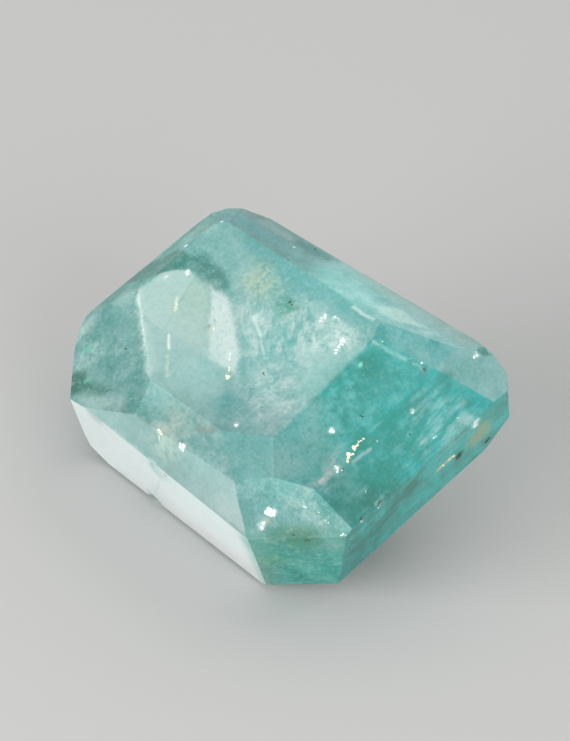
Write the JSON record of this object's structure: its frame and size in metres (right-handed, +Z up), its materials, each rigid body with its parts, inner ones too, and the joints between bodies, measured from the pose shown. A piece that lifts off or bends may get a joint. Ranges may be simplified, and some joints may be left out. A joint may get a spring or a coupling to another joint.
{
  "type": "emerald",
  "caption": "Loose step-cut emerald, a cloudy bluish-green octagonal stone with worn edges, lying on one of its keel facets.",
  "frame": {"origin": "on the surface that the stone lies on, under the middle of its bounding box", "axes": "+X along the stone's long sides, towards the end with the two steep steps, +Y away from the side that the table faces, +Z up"},
  "size_m": [0.0128, 0.0098, 0.0077],
  "materials": {
    "beryl": "polished facets with fine scratches over cloudy, included, bluish-green clear crystal"
  },
  "bodies": {
    "root": {"emerald": "beryl"}
  },
  "joints": []
}
